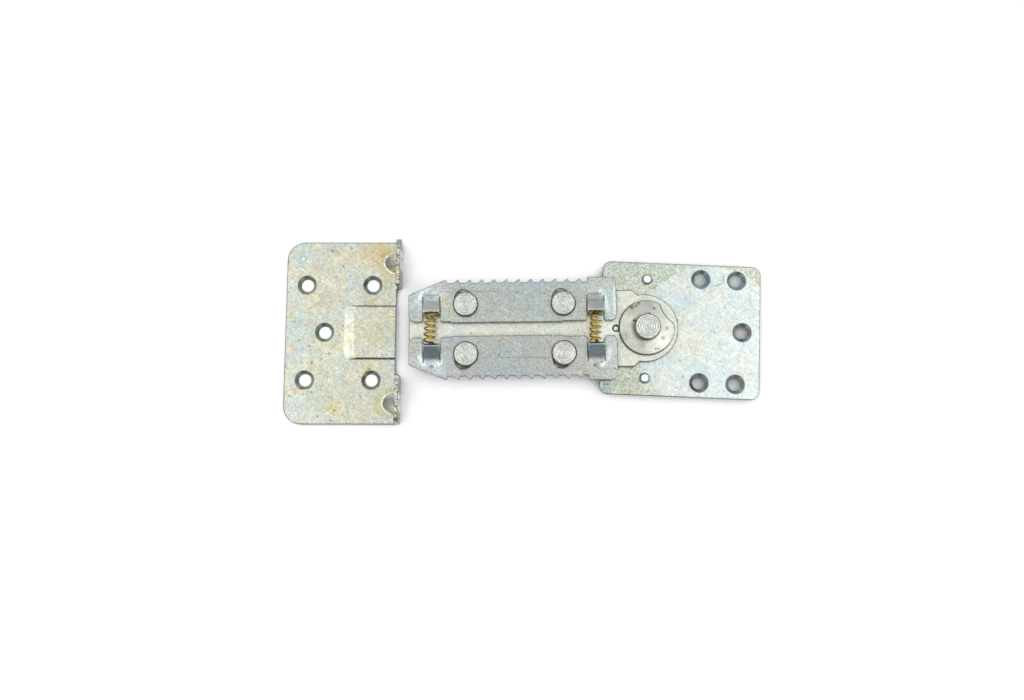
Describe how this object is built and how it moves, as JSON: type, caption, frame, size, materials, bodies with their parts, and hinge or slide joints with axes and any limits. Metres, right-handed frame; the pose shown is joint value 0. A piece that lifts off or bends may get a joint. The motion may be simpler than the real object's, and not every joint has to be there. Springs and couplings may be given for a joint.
{
  "type": "sofa connector bracket",
  "caption": "Two-part sofa connector: a catch plate with upturned flanges and a swivelling, spring-loaded toothed tongue on a countersunk mounting plate.",
  "frame": {"origin": "centre of the mounting plate's four-screw pattern, on its underside", "axes": "+Z out of the screwed face, towards the side seen in the picture; +X along the mounting plate, away from the catch plate; +Y across it"},
  "size_m": [0.2257, 0.089, 0.0159],
  "materials": {
    "catch_zinc": "zinc plated, speckled, slightly yellow",
    "mounting_zinc": "zinc plated, speckled",
    "tongue_zinc": "zinc plated, speckled",
    "jaw_zinc": "zinc plated, speckled, slightly blue",
    "stud_steel": "turned, zinc plated",
    "rivet_steel": "spun head, concentric marks",
    "washer_steel": "plain spring steel with dark spots and a rusty edge",
    "spring_brassed": "bright yellow plated wire"
  },
  "bodies": {
    "mounting": {"mounting_plate": "mounting_zinc", "pivot_rivet": "rivet_steel", "spring_washer": "washer_steel"},
    "tongue": {"tongue_plate": "tongue_zinc", "upper_front_stud": "stud_steel", "lower_front_stud": "stud_steel", "upper_rear_stud": "stud_steel", "lower_rear_stud": "stud_steel", "front_spring": "spring_brassed", "rear_spring": "spring_brassed"},
    "upper_jaw": {"upper_jaw": "jaw_zinc"},
    "lower_jaw": {"lower_jaw": "jaw_zinc"},
    "catch": {"catch_plate": "catch_zinc"}
  },
  "joints": [
    {"name": "tongue_swivel", "type": "hinge", "parent": "mounting", "child": "tongue", "pos_m": [-0.034, 0, 0.003], "axis": [0, 0, 1], "range_deg": [-31.1, 24.9]},
    {"name": "upper_jaw_slide", "type": "slide", "parent": "tongue", "child": "upper_jaw", "axis": [0.3849, -0.923, 0], "range_m": [0, 0.00329], "stiffness_N_per_m": 9800, "springref_m": -0.0022, "deforming": ["front_spring", "rear_spring"]},
    {"name": "lower_jaw_slide", "type": "slide", "parent": "tongue", "child": "lower_jaw", "axis": [0.283, 0.9591, 0], "range_m": [0, 0.00329], "stiffness_N_per_m": 9800, "springref_m": -0.0022, "deforming": ["front_spring", "rear_spring"]},
    {"name": "catch_slide", "type": "slide", "parent": "mounting", "child": "catch", "axis": [1, 0, 0], "range_m": [-0.04, 0.0062]}
  ]
}
